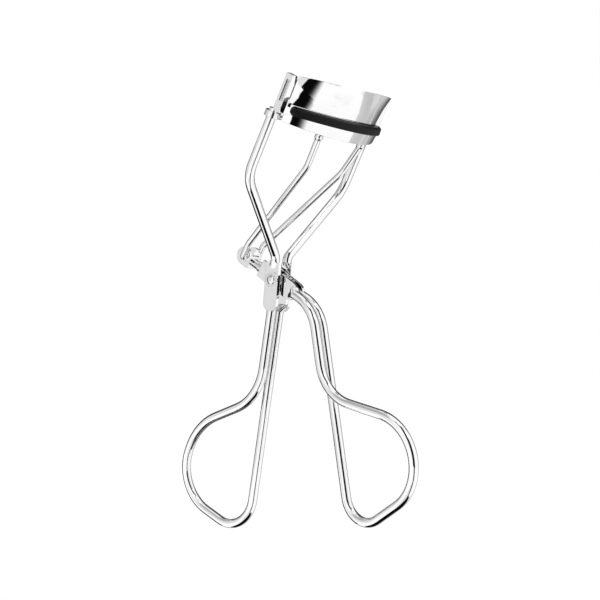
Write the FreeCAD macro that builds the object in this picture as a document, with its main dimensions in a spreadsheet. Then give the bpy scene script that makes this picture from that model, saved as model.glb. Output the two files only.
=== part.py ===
"""Eyelash curler: a wire frame and a wire lever on one rivet, with a lower jaw that slides on the frame.

X runs along the rivet, Z along the straight guides, and -Y towards the bulge of the jaws.
The origin is the middle of the rivet. The jaws are modelled closed, with the finger loops squeezed.
"""
import FreeCAD, Part
import math
import os
import re
import Sketcher

DOC = FreeCAD.newDocument("EyelashCurler")
SHEET = DOC.addObject("Spreadsheet::Sheet", "Sizes")
X_AXIS = FreeCAD.Vector(1, 0, 0)
Y_AXIS = FreeCAD.Vector(0, 1, 0)
Z_AXIS = FreeCAD.Vector(0, 0, 1)

# Driving dimensions: millimetres, and degrees where the name says so.
SIZES = (
    ("wire_diameter", 2.2, "frame and lever wire"),
    ("running_gap", 0.05, "radial clearance of every pin in its hole"),
    ("side_play", 0.02, "gap between flat faces that turn on each other"),
    ("half_span", 16.5, "middle plane to each guide"),
    ("guide_y", 6.2, "guides behind the rivet"),
    ("bend_height", 21.6, "rivet to the bend under each guide"),
    ("bend_radius", 8.0, "bend under each guide"),
    ("blade_foot", 37.7, "height where the guides become blades"),
    ("blade_top", 46.4, "height of the blade tops"),
    ("blade_thickness", 1.5, "blade along X"),
    ("blade_width", 2.05, "blade along Y"),
    ("blade_set", 1.2, "blades forward of the guides"),
    ("slot_foot", 40.2, "lower end of the blade slot"),
    ("slot_top", 45.1, "upper end of the blade slot"),
    ("slot_width", 1.1, "blade slot along Y"),
    ("slot_margin", 0.25, "metal in front of the blade slot"),
    ("tab_thickness", 0.75, "tab in the blade slot, along Y"),
    ("frame_lean_angle", 18.8, "frame handle from straight down, in degrees"),
    ("cheek_lean_angle", 23.4, "frame cheek from upright, in degrees"),
    ("cheek_x", 2.15, "middle plane to the middle of each frame cheek"),
    ("cheek_thickness", 0.9, "flattened frame wire at the rivet"),
    ("cheek_width", 4.0, "flattened frame wire across the handle"),
    ("cheek_offset", 0.3, "cheek behind the rivet, across the handle"),
    ("cheek_up", 4.3, "cheek above the rivet, along the handle"),
    ("cheek_down", 7.3, "cheek below the rivet, along the handle"),
    ("arm_foot_x", 2.0, "middle plane to each arm where it leaves its cheek"),
    ("wire_pair_x", 1.35, "middle plane to each wire of a handle"),
    ("frame_bend_distance", 28.0, "rivet to the loop bend, along the handle"),
    ("frame_bend_radius", 12.2, "bend into the frame loop"),
    ("frame_shoulder_y", 5.54, "outer shoulder of the frame loop"),
    ("frame_shoulder_z", -42.2, "outer shoulder of the frame loop"),
    ("frame_shoulder_radius", 16.2, "outer shoulder of the frame loop"),
    ("frame_heel_y", 5.06, "outer foot of the frame loop"),
    ("frame_heel_z", -60.4, "outer foot of the frame loop"),
    ("frame_heel_radius", 10.2, "outer foot of the frame loop"),
    ("frame_toe_distance", 62.05, "rivet to the inner foot of the loop, along the handle"),
    ("frame_toe_radius", 7.4, "inner foot of the frame loop"),
    ("plate_x", 1.05, "middle plane to the middle of each lever plate"),
    ("plate_thickness", 0.7, "flattened lever wire at the rivet"),
    ("plate_width", 4.2, "flattened lever wire along Z"),
    ("plate_tilt_angle", 3.0, "lever plate from level, down towards the front, in degrees"),
    ("ear_reach", 5.9, "lever ear behind the rivet"),
    ("plate_reach", 7.2, "lever plate in front of the rivet"),
    ("lever_wire_start", 6.7, "round wire starts in front of the rivet"),
    ("lever_wire_z", -0.35, "lever wire where it leaves the plate"),
    ("knee_y", -13.0, "knee of the lever"),
    ("knee_radius", 10.6, "knee of the lever"),
    ("lever_angle", 39.53, "lever handle from straight down, in degrees"),
    ("lever_bend_distance", 20.2, "knee to the loop bend, along the handle"),
    ("lever_bend_radius", 10.7, "bend into the lever loop"),
    ("lever_shoulder_y", -66.2, "outer shoulder of the lever loop"),
    ("lever_shoulder_z", -4.3, "outer shoulder of the lever loop"),
    ("lever_shoulder_radius", 10.7, "outer shoulder of the lever loop"),
    ("lever_toe_distance", 51.9, "knee to the inner foot of the loop, along the handle"),
    ("lever_toe_radius", 6.0, "inner foot of the lever loop"),
    ("rivet_radius", 0.95, "rivet shank"),
    ("rivet_head_radius", 1.2, "rivet dome"),
    ("rivet_head_height", 0.6, "rivet dome"),
    ("rivet_washer_radius", 1.8, "ring under the dome"),
    ("rivet_washer_thickness", 0.3, "ring under the dome"),
    ("friction_washer_radius", 1.7, "washer between cheek and lever plate"),
    ("spacer_radius", 1.7, "tube between the lever plates"),
    ("bridge_start", 2.9, "front face of the bridge between the ears"),
    ("bridge_height", 2.4, "bridge along Z"),
    ("stud_pin_radius", 0.4, "thin ends of the swivel post"),
    ("stud_depth", 1.9, "swivel post sunk in the bridge"),
    ("post_washer_radius", 1.25, "rings at the foot of the post"),
    ("post_washer_thickness", 0.55, "rings at the foot of the post"),
    ("post_radius", 1.02, "thick part of the swivel post"),
    ("post_length", 2.0, "thick part of the swivel post"),
    ("stud_head_radius", 0.95, "head of the post inside the clevis"),
    ("stud_head_height", 0.3, "head of the post inside the clevis"),
    ("clevis_z", 0.6, "middle height of the clevis ears"),
    ("clevis_height", 4.3, "clevis ears along Z"),
    ("clevis_neck_height", 2.5, "clevis next to its web, along Z"),
    ("clevis_half_width", 1.83, "middle plane to the outside of each clevis ear"),
    ("clevis_sheet", 0.55, "clevis sheet thickness"),
    ("clevis_end", 13.8, "far end of the clevis ears"),
    ("hook_y", 11.0, "clevis hole behind the rivet"),
    ("hook_z", 0.3, "clevis hole height"),
    ("rod_diameter", 1.45, "push rod wire"),
    ("rod_leg_x", 2.62, "middle plane to each leg of the push rod at its hook"),
    ("hook_radius", 0.78, "bend of the push rod at its hook"),
    ("leg_bend_y", 10.9, "bend above the hook"),
    ("leg_bend_z", 3.8, "bend above the hook"),
    ("leg_bend_radius", 4.0, "bend above the hook"),
    ("rod_bend_x", 6.1, "bend under the lower jaw"),
    ("rod_bend_y", 0.1, "bend under the lower jaw"),
    ("rod_bend_z", 28.0, "bend under the lower jaw"),
    ("rod_bend_radius", 9.0, "bend under the lower jaw"),
    ("ball_x", 7.4, "middle plane to each ball collar"),
    ("ball_y", -0.9, "ball collars"),
    ("ball_radius", 1.0, "ball collars"),
    ("ball_seat", 0.28, "ball collar sunk in the hole of the channel floor"),
    ("tip_radius", 0.5, "rod end inside the channel floor"),
    ("floor_hole_radius", 0.75, "hole for the ball collar in the channel floor"),
    ("floor_hole_run", 1.0, "length added to that hole along Y for the swing of the rod"),
    ("arc_y", 18.6, "centre of the jaw curve"),
    ("jaw_tilt_angle", 7.0, "mating edges of the jaws, lower at the ends, in degrees"),
    ("bar_foot", 36.2, "underside of the lower jaw"),
    ("bar_top", 39.45, "upper edge of the lower jaw at its front"),
    ("bar_outer_radius", 22.1, "lower jaw, outer radius at its underside"),
    ("bar_inner_radius", 19.3, "lower jaw, inner radius at its underside"),
    ("bar_flare", 0.4, "how far each wall leans out at its top"),
    ("bar_wall", 0.6, "channel wall"),
    ("bar_floor", 0.7, "channel floor"),
    ("bar_half_angle", 46.7, "half the sweep of the lower jaw, in degrees"),
    ("channel_half_angle", 45.0, "half the sweep of its channel, in degrees"),
    ("bar_taper_y", 0.3, "the walls get lower still from here to the ends"),
    ("bar_taper_end", 5.6, "end of that taper"),
    ("pad_half_angle", 44.0, "half the sweep of the pad, in degrees"),
    ("pad_side_gap", 0.05, "pad stem in the channel"),
    ("pad_stem_foot", 38.1, "underside of the pad stem"),
    ("pad_top", 40.95, "crown of the pad at its front"),
    ("pad_corner", 1.1, "rounded edges of the pad"),
    ("plate_foot", 41.05, "lower edge of the upper jaw at its front"),
    ("plate_wall", 0.8, "upper jaw sheet"),
    ("plate_foot_radius", 21.2, "upper jaw, outer radius at its lower edge"),
    ("plate_waist_radius", 21.55, "upper jaw, outer radius at its waist"),
    ("plate_waist_z", 44.2, "height of the waist"),
    ("plate_brim_radius", 22.1, "upper jaw, outer radius at its brim"),
    ("plate_brim_z", 46.8, "height of the brim"),
    ("plate_lip_radius", 22.75, "upper jaw, outer radius at its lip"),
    ("plate_lip_z", 48.8, "height of the lip before it is trimmed"),
    ("plate_half_angle", 46.5, "half the sweep of the upper jaw, in degrees"),
    ("skirt_foot", 39.45, "lower end of the skirts beside the pad"),
    ("skirt_x", 14.9, "middle plane to each skirt"),
    ("trim_z", 47.5, "height of the trimmed lip at the plane of the rivet"),
    ("trim_slope", 0.25, "rise of the trimmed lip towards the front"),
    ("bush_radius", 1.75, "guide bush"),
    ("bush_height", 1.35, "guide bush"),
    ("bush_foot", 36.0, "underside of the guide bush"),
    ("neck_radius", 0.6, "neck between bush and lower jaw"),
)
ALIASES = {alias for alias, _, _ in SIZES}


def fill_sheet():
    for row, (alias, number, meaning) in enumerate(SIZES, 1):
        SHEET.set(f"A{row}", meaning)
        SHEET.set(f"B{row}", str(number))
        SHEET.setAlias(f"B{row}", alias)
    DOC.recompute()


def sized(expression):
    """The expression with each size read from the sheet."""
    return re.sub(r"[a-z_]+", lambda m: f"Sizes.{m[0]}" if m[0] in ALIASES else m[0], expression)


def value(expression):
    return float(SHEET.evalExpression(sized(expression)))


def bind(thing, path, expression):
    thing.setExpression(path, sized(expression))


def vector(x, y, z):
    return FreeCAD.Vector(value(x), value(y), value(z))


def place(thing, x="0", y="0", z="0"):
    bind(thing, "Placement.Base.x", x)
    bind(thing, "Placement.Base.y", y)
    bind(thing, "Placement.Base.z", z)
    return thing


def turn(thing, axis, degrees):
    thing.Placement = FreeCAD.Placement(FreeCAD.Vector(), FreeCAD.Rotation(axis, 1))
    bind(thing, "Placement.Rotation.Angle", degrees)
    return thing


def cylinder(name, radius, length, x="0", y="0", z="0", axis=Z_AXIS):
    rod = DOC.addObject("Part::Cylinder", name)
    bind(rod, "Radius", radius)
    bind(rod, "Height", length)
    rod.Placement = FreeCAD.Placement(FreeCAD.Vector(), FreeCAD.Rotation(Z_AXIS, axis))
    return place(rod, x, y, z)


def box(name, low, sides):
    block = DOC.addObject("Part::Box", name)
    for side, expression in zip(("Length", "Width", "Height"), sides):
        bind(block, side, expression)
    return place(block, *low)


def fuse(name, shapes):
    joined = DOC.addObject("Part::MultiFuse", name)
    joined.Shapes = shapes
    joined.Refine = True
    return joined


def cut(name, base, tool):
    left = DOC.addObject("Part::Cut", name)
    left.Base = base
    left.Tool = tool
    left.Refine = True
    return left


def ring(name, outer, inner, length, x="0", y="0", z="0", axis=Z_AXIS):
    """A tube: washers, spacer and bushes."""
    body = cylinder(f"{name}_body", outer, length, x, y, z, axis)
    hole = cylinder(f"{name}_hole", inner, length, x, y, z, axis)
    return cut(name, body, hole)


def route(name, corners, radii):
    """Straight runs joined by tangent arcs, one radius for each inner corner."""
    points = [vector(*corner) for corner in corners]
    edges = []
    start = points[0]
    for before, corner, after, radius in zip(points, points[1:], points[2:], radii):
        inward = (before - corner).normalize()
        outward = (after - corner).normalize()
        half_turn = (math.pi - inward.getAngle(outward)) / 2
        reach = value(radius) * math.tan(half_turn)
        middle = (inward + outward).normalize() * (value(radius) * (1 / math.cos(half_turn) - 1))
        enter = corner + inward * reach
        leave = corner + outward * reach
        edges.append(Part.LineSegment(start, enter).toShape())
        edges.append(Part.Arc(enter, corner + middle, leave).toShape())
        start = leave
    edges.append(Part.LineSegment(start, points[-1]).toShape())
    path = DOC.addObject("Part::Feature", name)
    path.Shape = Part.Wire(edges)
    return path


def bent_wire(name, diameter, corners, radii):
    """A round wire along a route."""
    path = route(f"{name}_route", corners, radii)
    first, second = vector(*corners[0]), vector(*corners[1])
    section = DOC.addObject("Part::Circle", f"{name}_section")
    bind(section, "Radius", f"{diameter} / 2")
    section.Placement = FreeCAD.Placement(first, FreeCAD.Rotation(Z_AXIS, second - first))
    sweep = DOC.addObject("Part::Sweep", name)
    sweep.Sections = [section]
    sweep.Spine = (path, [])
    sweep.Solid = True
    return sweep


def strap(name, x, y, thickness, width, up, down):
    """Flattened wire: square at its upper end, round at its lower end, along local Z."""
    round_z = f"{width} / 2 - {down}"
    face = f"{x} - {thickness} / 2"
    blade = box(
        f"{name}_flat",
        (face, f"{y} - {width} / 2", round_z),
        (thickness, width, f"{up} - ({round_z})"),
    )
    end = cylinder(f"{name}_end", f"{width} / 2", thickness, face, y, round_z, X_AXIS)
    return fuse(name, [blade, end])


def swage(name, flat, round_end):
    """The stretch where round wire becomes flat, between an ellipse and a circle.

    Each end is its centre and its lean about X; the flat end also has its thickness and width.
    """
    flat_centre, flat_lean, thickness, width = flat
    round_centre, round_lean = round_end
    ellipse = DOC.addObject("Part::Ellipse", f"{name}_flat")
    bind(ellipse, "MajorRadius", f"{width} / 2 - 0.1")
    bind(ellipse, "MinorRadius", f"{thickness} / 2 - 0.05")
    circle = DOC.addObject("Part::Circle", f"{name}_round")
    bind(circle, "Radius", "wire_diameter / 2")
    for section, centre, lean in ((ellipse, flat_centre, flat_lean), (circle, round_centre, round_lean)):
        turned = FreeCAD.Rotation(X_AXIS, value(lean)) * FreeCAD.Rotation(Z_AXIS, 90)
        section.Placement = FreeCAD.Placement(FreeCAD.Vector(), turned)
        place(section, *centre)
    loft = DOC.addObject("Part::Loft", name)
    loft.Sections = [ellipse, circle]
    loft.Solid = True
    return loft


def outline(body, name, corners):
    """A closed sketch of straight sides on the body's YZ plane, each corner held by two sizes."""
    sketch = body.newObject("Sketcher::SketchObject", name)
    plane = next(f for f in body.Origin.OriginFeatures if f.Role == "YZ_Plane")
    sketch.AttachmentSupport = [(plane, "")]
    sketch.MapMode = "FlatFace"
    points = [FreeCAD.Vector(value(across), value(up), 0) for across, up in corners]
    for start, end in zip(points, points[1:] + points[:1]):
        sketch.addGeometry(Part.LineSegment(start, end))
    count = len(points)
    for side in range(count):
        sketch.addConstraint(Sketcher.Constraint("Coincident", side, 2, (side + 1) % count, 1))
    for side, (across, up) in enumerate(corners):
        for kind, expression in (("DistanceX", across), ("DistanceY", up)):
            index = sketch.addConstraint(Sketcher.Constraint(kind, -1, 1, side, 1, value(expression)))
            bind(sketch, f"Constraints[{index}]", expression)
    return sketch


def sweep_round(body, kind, sketch, half_angle):
    """A Revolution or Groove about the body's Z axis, the same way to both sides."""
    feature = body.newObject(f"PartDesign::{kind}", f"{sketch.Name}_{kind}")
    feature.Profile = sketch
    feature.ReferenceAxis = (sketch, ["V_Axis"])
    feature.Midplane = True
    bind(feature, "Angle", f"2 * {half_angle}")
    return feature


def cut_across(body, sketch, length):
    """A Pocket to both sides of the body's YZ plane."""
    pocket = body.newObject("PartDesign::Pocket", f"{sketch.Name}_Pocket")
    pocket.Profile = sketch
    pocket.SideType = "Symmetric"
    bind(pocket, "Length", length)
    return pocket


def tilted(height, across):
    """Height of a mating edge at a distance behind the axis of the jaw curve."""
    return f"{height} - ({across} + bar_outer_radius) * tan(jaw_tilt_angle)"


def jaw_body(name):
    """A body whose own Z axis is the axis of the jaw curve."""
    body = DOC.addObject("PartDesign::Body", name)
    place(body, "0", "arc_y", "0")
    return body


SIDES = (("left", "-"), ("right", ""))


def frame_arm(side, sign):
    """Guide, bend and lower arm on one side, with the slotted blade on top."""
    arm = bent_wire(
        f"arm_{side}",
        "wire_diameter",
        (
            on_cheek(f"{sign}arm_foot_x", "0", "cheek_up"),
            on_cheek(f"{sign}arm_foot_x", "0", "cheek_up + 1.1"),
            (f"{sign}half_span", "guide_y", "bend_height"),
            (f"{sign}half_span", "guide_y", "blade_foot + 0.3"),
        ),
        ("2.6", "bend_radius"),
    )
    blade_front = "guide_y - blade_set - blade_width / 2"
    blade = box(
        f"blade_{side}_block",
        (f"{sign}half_span - blade_thickness / 2", blade_front, "blade_foot"),
        ("blade_thickness", "blade_width", "blade_top - blade_foot"),
    )
    slot = box(
        f"blade_{side}_slot",
        (f"{sign}half_span - blade_thickness", f"{blade_front} + slot_margin", "slot_foot"),
        ("2 * blade_thickness", "slot_width", "slot_top - slot_foot"),
    )
    return arm, cut(f"blade_{side}", blade, slot)


def on_cheek(x, across, along):
    """A point beside and above the rivet, in the leaning frame of the cheeks."""
    return (
        x,
        f"({across}) * cos(cheek_lean_angle) + ({along}) * sin(cheek_lean_angle)",
        f"({along}) * cos(cheek_lean_angle) - ({across}) * sin(cheek_lean_angle)",
    )


def on_frame_handle(x, distance):
    """A point at a distance below the rivet, along the frame handle."""
    return (x, f"-({distance}) * sin(frame_lean_angle)", f"-({distance}) * cos(frame_lean_angle)")


def on_lever_handle(x, distance):
    """A point at a distance below the knee, along the lever handle."""
    return (x, f"knee_y - ({distance}) * sin(lever_angle)", f"lever_wire_z - ({distance}) * cos(lever_angle)")


def frame_wire():
    shapes = []
    for side, sign in SIDES:
        shapes.extend(frame_arm(side, sign))
        x = f"{sign}cheek_x"
        flattened = ("-cheek_lean_angle", "cheek_thickness", "cheek_width")
        cheek = strap(f"cheek_{side}", x, "cheek_offset", *flattened[1:], "cheek_up - 0.2", "cheek_down")
        shapes.append(turn(cheek, X_AXIS, "-cheek_lean_angle"))
        above = (on_cheek(x, "cheek_offset", "cheek_up - 1.9"), *flattened)
        arm_foot = (on_cheek(f"{sign}arm_foot_x", "0", "cheek_up"), "-cheek_lean_angle")
        shapes.append(swage(f"cheek_{side}_upper", above, arm_foot))
        below = (on_cheek(x, "cheek_offset", "1.9 - cheek_down"), *flattened)
        handle_top = (on_frame_handle(f"{sign}wire_pair_x", "cheek_down"), "-frame_lean_angle")
        shapes.append(swage(f"cheek_{side}_lower", below, handle_top))
    loop = bent_wire(
        "frame_loop",
        "wire_diameter",
        (
            on_frame_handle("-wire_pair_x", "cheek_down"),
            on_frame_handle("-wire_pair_x", "frame_bend_distance"),
            ("-wire_pair_x", "frame_shoulder_y", "frame_shoulder_z"),
            ("0", "frame_heel_y", "frame_heel_z"),
            on_frame_handle("wire_pair_x", "frame_toe_distance"),
            on_frame_handle("wire_pair_x", "cheek_down"),
        ),
        ("frame_bend_radius", "frame_shoulder_radius", "frame_heel_radius", "frame_toe_radius"),
    )
    solid = fuse("frame_solid", shapes + [loop])
    bore = cylinder("frame_bore", "rivet_radius + side_play", "4 * cheek_x", "-2 * cheek_x", axis=X_AXIS)
    return cut("frame_wire", solid, bore)


def lever_wire():
    shapes = []
    lean = "plate_tilt_angle - 90"
    for side, sign in SIDES:
        flattened = ("plate_thickness", "plate_width")
        plate = strap(f"plate_{side}", f"{sign}plate_x", "0", *flattened, "ear_reach - 0.1", "plate_reach")
        shapes.append(turn(plate, X_AXIS, lean))
        inside = "lever_wire_start - 1.8"
        flat_centre = (
            f"{sign}plate_x",
            f"-({inside}) * cos(plate_tilt_angle)",
            f"-({inside}) * sin(plate_tilt_angle)",
        )
        wire_start = (f"{sign}wire_pair_x", "-lever_wire_start", "lever_wire_z")
        shapes.append(swage(f"plate_{side}_lower", (flat_centre, lean, *flattened), (wire_start, "-90")))
    loop = bent_wire(
        "lever_loop",
        "wire_diameter",
        (
            ("-wire_pair_x", "-lever_wire_start", "lever_wire_z"),
            ("-wire_pair_x", "knee_y", "lever_wire_z"),
            on_lever_handle("-wire_pair_x", "lever_bend_distance"),
            ("-wire_pair_x", "lever_shoulder_y", "lever_shoulder_z"),
            on_lever_handle("wire_pair_x", "lever_toe_distance"),
            ("wire_pair_x", "knee_y", "lever_wire_z"),
            ("wire_pair_x", "-lever_wire_start", "lever_wire_z"),
        ),
        ("knee_radius", "lever_bend_radius", "lever_shoulder_radius", "lever_toe_radius", "knee_radius"),
    )
    solid = fuse("lever_solid", shapes + [loop])
    bore = cylinder("lever_bore", "rivet_radius + running_gap", "4 * plate_x", "-2 * plate_x", axis=X_AXIS)
    return cut("lever_wire", solid, bore)


def pivot_pieces():
    """Rivet, its rings, the hidden washers and the tube between the lever plates."""
    outside = "(cheek_x + cheek_thickness / 2 + side_play)"
    seat = f"({outside} + rivet_washer_thickness)"
    shank = cylinder("rivet_shank", "rivet_radius", f"2 * {seat}", f"-{seat}", axis=X_AXIS)
    domes = []
    for side, sign in SIDES:
        dome = DOC.addObject("Part::Ellipsoid", f"rivet_dome_{side}")
        bind(dome, "Radius1", "rivet_head_height")
        bind(dome, "Radius2", "rivet_head_radius")
        dome.Angle1 = 0
        facing = X_AXIS * (1 if side == "right" else -1)
        dome.Placement = FreeCAD.Placement(FreeCAD.Vector(), FreeCAD.Rotation(Z_AXIS, facing))
        domes.append(place(dome, f"{sign}{seat}"))
    rivet = fuse("pivot_rivet", [shank] + domes)
    hole = "rivet_radius + running_gap"
    pieces = [rivet]
    for name, low in (("rivet_washer_front", f"-{seat}"), ("rivet_washer_back", outside)):
        pieces.append(ring(name, "rivet_washer_radius", hole, "rivet_washer_thickness", low, axis=X_AXIS))
    plate_outside = "(plate_x + plate_thickness / 2 + side_play)"
    gap = f"(cheek_x - cheek_thickness / 2 - side_play - {plate_outside})"
    for name, low in (("friction_washer_front", f"-({plate_outside} + {gap})"), ("friction_washer_back", plate_outside)):
        pieces.append(ring(name, "friction_washer_radius", hole, gap, low, axis=X_AXIS))
    inside = "(plate_x - plate_thickness / 2 - side_play)"
    pieces.append(ring("pivot_spacer", "spacer_radius", hole, f"2 * {inside}", f"-{inside}", axis=X_AXIS))
    return pieces


def post_pieces():
    """Bridge between the ears, swivel post with its two rings, and the clevis that it carries."""
    inside = "(plate_x - plate_thickness / 2)"
    block = box(
        "bridge_block",
        (f"-{inside}", "bridge_start", "-bridge_height / 2"),
        (f"2 * {inside}", "ear_reach - bridge_start", "bridge_height"),
    )
    socket = cylinder(
        "bridge_socket", "stud_pin_radius + side_play", "stud_depth", y="ear_reach - stud_depth", axis=Y_AXIS
    )
    bridge = cut("lever_bridge", block, socket)
    pitch = "(post_washer_thickness + side_play)"
    washers = []
    for name, start in (("post_washer_inner", "ear_reach + side_play"), ("post_washer_outer", f"ear_reach + side_play + {pitch}")):
        washers.append(
            ring(name, "post_washer_radius", "stud_pin_radius + side_play", "post_washer_thickness", y=start, axis=Y_AXIS)
        )
    post_start = f"(ear_reach + side_play + 2 * {pitch})"
    web = f"({post_start} + post_length + side_play)"
    head = f"({web} + clevis_sheet + side_play)"
    pin_start = "(ear_reach - stud_depth + side_play)"
    post = fuse(
        "swivel_post",
        [
            cylinder("post_pin", "stud_pin_radius", f"{head} + 0.1 - {pin_start}", y=pin_start, axis=Y_AXIS),
            cylinder("post_body", "post_radius", "post_length", y=post_start, axis=Y_AXIS),
            cylinder("post_head", "stud_head_radius", "stud_head_height", y=head, axis=Y_AXIS),
        ],
    )
    round_y = "clevis_end - clevis_height / 2"
    blank = fuse(
        "clevis_blank",
        [
            box(
                "clevis_flat",
                ("-clevis_half_width", web, "clevis_z - clevis_height / 2"),
                ("2 * clevis_half_width", f"{round_y} - {web}", "clevis_neck_height"),
            ),
            cylinder(
                "clevis_round",
                "clevis_height / 2",
                "2 * clevis_half_width",
                "-clevis_half_width",
                round_y,
                "clevis_z",
                X_AXIS,
            ),
        ],
    )
    hollow = box(
        "clevis_hollow",
        ("clevis_sheet - clevis_half_width", f"{web} + clevis_sheet", "clevis_z - clevis_height"),
        ("2 * (clevis_half_width - clevis_sheet)", "2 * clevis_end", "2 * clevis_height"),
    )
    hook_hole = cylinder(
        "clevis_hook_hole",
        "rod_diameter / 2 + running_gap",
        "4 * clevis_half_width",
        "-2 * clevis_half_width",
        "hook_y",
        "hook_z",
        X_AXIS,
    )
    post_hole = cylinder("clevis_post_hole", "stud_pin_radius + side_play", "3 * clevis_sheet", y=f"{web} - clevis_sheet", axis=Y_AXIS)
    clevis = cut("clevis", blank, fuse("clevis_openings", [hollow, hook_hole, post_hole]))
    return [bridge, *washers, post, clevis]


def push_rod_pieces():
    """One wire bent to a yoke through both clevis ears, with a ball collar at each end."""
    ball_z = "(bar_foot + ball_seat - ball_radius)"

    def leg(sign):
        return [
            (f"{sign}ball_x", "ball_y", ball_z),
            (f"{sign}rod_bend_x", "rod_bend_y", "rod_bend_z"),
            (f"{sign}rod_leg_x", "leg_bend_y", "leg_bend_z"),
            (f"{sign}rod_leg_x", "hook_y", "hook_z"),
        ]

    radii = ("rod_bend_radius", "leg_bend_radius", "hook_radius")
    yoke = bent_wire("yoke", "rod_diameter", leg("-") + leg("")[::-1], radii + radii[::-1])
    tips = []
    balls = []
    for side, sign in SIDES:
        centre = (f"{sign}ball_x", "ball_y", ball_z)
        tips.append(cylinder(f"tip_{side}", "tip_radius", f"bar_foot + bar_floor - 0.1 - {ball_z}", *centre))
        ball = DOC.addObject("Part::Sphere", f"ball_{side}")
        bind(ball, "Radius", "ball_radius")
        balls.append((side, place(ball, *centre)))
    rod = fuse("push_rod", [yoke] + tips)
    return [rod] + [cut(f"ball_collar_{side}", ball, rod) for side, ball in balls]


def lower_jaw_bar():
    body = jaw_body("bar_body")
    section = outline(
        body,
        "bar_section",
        (
            ("-bar_outer_radius", "bar_foot"),
            ("-bar_inner_radius", "bar_foot"),
            ("-bar_inner_radius + bar_flare", "bar_top"),
            ("-bar_outer_radius - bar_flare", "bar_top"),
        ),
    )
    sweep_round(body, "Revolution", section, "bar_half_angle")
    channel = outline(
        body,
        "bar_channel",
        (
            ("-bar_outer_radius + bar_wall", "bar_foot + bar_floor"),
            ("-bar_inner_radius - bar_wall", "bar_foot + bar_floor"),
            ("-bar_inner_radius + bar_flare - bar_wall", "bar_top"),
            ("-bar_outer_radius - bar_flare + bar_wall", "bar_top"),
        ),
    )
    sweep_round(body, "Groove", channel, "channel_half_angle")
    above = "bar_top + 1"
    taper = outline(
        body,
        "bar_taper",
        (
            ("-bar_outer_radius - 1", tilted("bar_top", "-bar_outer_radius - 1")),
            ("bar_taper_y - arc_y", tilted("bar_top", "bar_taper_y - arc_y")),
            ("bar_taper_end - arc_y", "bar_foot + bar_floor + 0.25"),
            ("bar_taper_end - arc_y + 1", "bar_foot + bar_floor + 0.25"),
            ("bar_taper_end - arc_y + 1", above),
            ("-bar_outer_radius - 1", above),
        ),
    )
    cut_across(body, taper, "4 * half_span")
    holes = []
    for side, sign in SIDES:
        low_z = "bar_foot - bar_floor"
        for end, run in (("near", "0"), ("far", "floor_hole_run")):
            holes.append(
                cylinder(
                    f"floor_hole_{side}_{end}",
                    "floor_hole_radius",
                    "2.5 * bar_floor",
                    f"{sign}ball_x",
                    f"ball_y + {run}",
                    low_z,
                )
            )
        holes.append(
            box(
                f"floor_slot_{side}",
                (f"{sign}ball_x - floor_hole_radius", "ball_y", low_z),
                ("2 * floor_hole_radius", "floor_hole_run", "2.5 * bar_floor"),
            )
        )
    return cut("lower_jaw_bar", body, fuse("floor_holes", holes))


def silicone_pad():
    """A stem in the channel and a wider rounded bead that stands on the tilted walls."""
    stem_body = jaw_body("pad_stem_body")
    stem_out = "-bar_outer_radius + bar_wall + pad_side_gap"
    stem_in = "-bar_inner_radius - bar_wall - pad_side_gap"
    stem = outline(
        stem_body,
        "pad_stem",
        (
            (stem_out, "pad_stem_foot"),
            (stem_in, "pad_stem_foot"),
            (stem_in, "bar_top + 0.3"),
            (stem_out, "bar_top + 0.3"),
        ),
    )
    sweep_round(stem_body, "Revolution", stem, "pad_half_angle")
    bead_body = DOC.addObject("PartDesign::Body", "pad_bead_body")
    front = "(bar_outer_radius + bar_flare)"
    turn(bead_body, X_AXIS, "-jaw_tilt_angle")
    place(
        bead_body,
        "0",
        f"arc_y - {front} * (1 - cos(jaw_tilt_angle))",
        f"bar_top + pad_side_gap - {front} * sin(jaw_tilt_angle)",
    )
    crown = "(pad_top - bar_top - pad_side_gap)"
    bead = outline(
        bead_body,
        "pad_bead",
        (
            ("-bar_inner_radius", "0"),
            ("-bar_inner_radius", f"{crown} - pad_corner"),
            ("-bar_inner_radius - pad_corner", crown),
            (f"pad_corner - {front}", crown),
            (f"-{front}", f"{crown} - pad_corner"),
            (f"-{front}", "0"),
        ),
    )
    sweep_round(bead_body, "Revolution", bead, "pad_half_angle")
    return fuse("silicone_pad", [stem_body, bead_body])


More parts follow.
